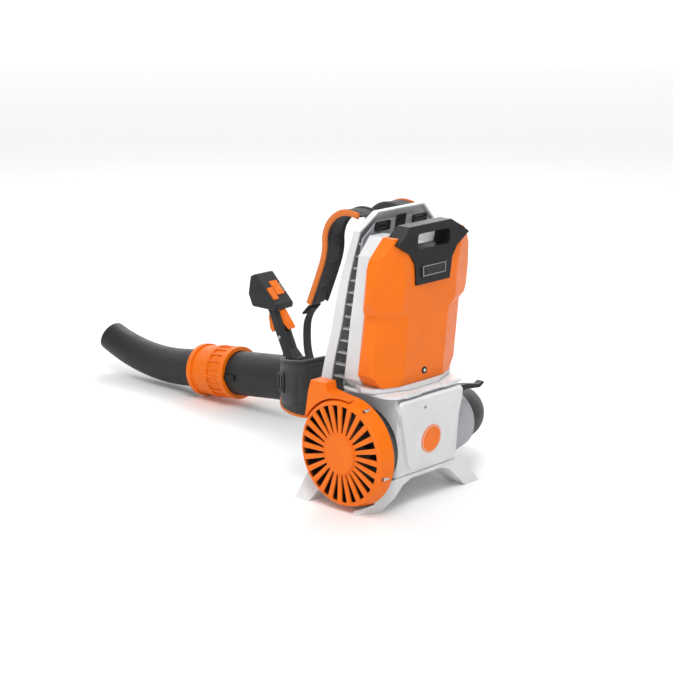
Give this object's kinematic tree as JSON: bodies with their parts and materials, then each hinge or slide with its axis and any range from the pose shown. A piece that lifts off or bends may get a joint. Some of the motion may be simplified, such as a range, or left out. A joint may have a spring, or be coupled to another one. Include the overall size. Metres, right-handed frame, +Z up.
{
  "type": "backpack leaf blower",
  "caption": "Battery backpack leaf blower: slatted round side intake, in-line fan, bent outlet, hose and blow tube with control handle, on a padded harness frame.",
  "frame": {"origin": "on the ground, under the fan axis, midway between the side walls of the back frame", "axes": "+X to the operator's right, +Y the way the operator faces, +Z up"},
  "size_m": [0.509, 1.3748, 0.6323],
  "materials": {
    "orange_plastic": "satin moulded",
    "white_plastic": "satin moulded",
    "grey_plastic": "fine moulded grain",
    "dark_plastic": "fine moulded grain",
    "black_plastic": "fine moulded grain",
    "hose_rubber": "pleated",
    "harness_fabric": "woven, padded",
    "webbing": "woven tape",
    "steel": "zinc plated",
    "alloy": "cast",
    "cell_wrap": "shrink wrap over steel cells",
    "board": "lacquered",
    "light": "clear lens",
    "plate": "printed panel"
  },
  "bodies": {
    "frame_body": {"back_frame": "white_plastic", "back_pad": "harness_fabric", "badge": "orange_plastic", "battery_tray": "white_plastic", "controller": "alloy", "fan_duct": "grey_plastic", "grille_screws": "steel", "guide_panel": "grey_plastic", "hip_buckles": "black_plastic", "hip_pad_left": "harness_fabric", "hip_pad_right": "harness_fabric", "housing_front": "white_plastic", "housing_rear": "white_plastic", "intake_grille": "orange_plastic", "intake_sleeve": "dark_plastic", "motor": "alloy", "outlet_shroud": "grey_plastic", "shoulder_pad_left": "harness_fabric", "shoulder_pad_right": "harness_fabric", "shoulder_web_left": "webbing", "shoulder_web_right": "webbing", "stand": "white_plastic", "stator": "dark_plastic", "strap_adjusters": "black_plastic", "strap_sliders": "black_plastic", "tube_hook": "black_plastic"},
    "fan": {"fan_rotor": "dark_plastic", "fan_nut": "steel", "motor_shaft": "steel"},
    "battery": {"battery_shell": "orange_plastic", "battery_handle": "black_plastic", "nameplate": "plate", "battery_case": "white_plastic", "battery_cells": "cell_wrap", "battery_board": "board"},
    "status_key": {"status_button": "black_plastic"},
    "latch": {"battery_latch": "black_plastic"},
    "elbow": {"outlet_elbow": "dark_plastic", "hose_rear": "hose_rubber"},
    "blow_tube": {"hose_front": "hose_rubber", "main_tube": "dark_plastic", "tube_cuff": "dark_plastic", "collar_hook": "black_plastic", "grip_right": "dark_plastic", "grip_left": "dark_plastic", "control_head": "dark_plastic", "status_lights": "light", "grip_screw": "steel", "lever_pins": "steel"},
    "collar_ring": {"collar": "orange_plastic"},
    "nozzle_piece": {"nozzle": "dark_plastic"},
    "trigger": {"throttle_trigger": "orange_plastic"},
    "lock": {"lock_lever": "orange_plastic"},
    "rocker": {"speed_rocker": "orange_plastic"},
    "boost": {"boost_button": "orange_plastic"}
  },
  "joints": [
    {"name": "fan_spin", "type": "hinge", "parent": "frame_body", "child": "fan", "pos_m": [0, 0, 0.127], "axis": [1, 0, 0], "continuous": true},
    {"name": "battery_lift", "type": "slide", "parent": "frame_body", "child": "battery", "axis": [0, -0.1599, 0.9871], "range_m": [0, 0.14]},
    {"name": "status_press", "type": "slide", "parent": "battery", "child": "status_key", "axis": [0, 1, 0], "range_m": [0, 0.0015], "stiffness_N_per_m": 800, "springref_m": -0.0005},
    {"name": "latch_turn", "type": "hinge", "parent": "frame_body", "child": "latch", "pos_m": [0, 0.0015, 0.584], "axis": [-1, 0, 0], "range_deg": [-30, 0], "stiffness_Nm_per_rad": 0.3, "springref_deg": 5.73},
    {"name": "elbow_swivel", "type": "hinge", "parent": "frame_body", "child": "elbow", "pos_m": [0.254, 0, 0.127], "axis": [1, 0, 0], "range_deg": [0, 50]},
    {"name": "hose_bend", "type": "hinge", "parent": "elbow", "child": "blow_tube", "pos_m": [0.254, 0.30884, 0.12054], "axis": [0, 0, 1], "range_deg": [-18, 18], "stiffness_Nm_per_rad": 4},
    {"name": "collar_turn", "type": "hinge", "parent": "blow_tube", "child": "collar_ring", "pos_m": [0.254, 0.8096, 0.0744], "axis": [0, 0.9945, -0.1045], "range_deg": [-30, 0]},
    {"name": "nozzle_slide", "type": "slide", "parent": "blow_tube", "child": "nozzle_piece", "axis": [0, 0.9945, -0.1045], "range_m": [0, 0.12]},
    {"name": "trigger_pull", "type": "hinge", "parent": "blow_tube", "child": "trigger", "pos_m": [0.254, 0.62788, 0.25418], "axis": [1, 0, 0], "range_deg": [-10, 0], "stiffness_Nm_per_rad": 0.5, "springref_deg": 8.59},
    {"name": "lock_press", "type": "hinge", "parent": "blow_tube", "child": "lock", "pos_m": [0.254, 0.59911, 0.26821], "axis": [1, 0, 0], "range_deg": [0, 8], "stiffness_Nm_per_rad": 0.5, "springref_deg": -8.59},
    {"name": "rocker_tilt", "type": "hinge", "parent": "blow_tube", "child": "rocker", "pos_m": [0.261, 0.62218, 0.31992], "axis": [1, 0, 0], "range_deg": [-5, 5], "stiffness_Nm_per_rad": 0.3},
    {"name": "boost_press", "type": "slide", "parent": "blow_tube", "child": "boost", "axis": [0, 0.6971, -0.717], "range_m": [0, 0.0025], "stiffness_N_per_m": 800, "springref_m": -0.0005}
  ]
}
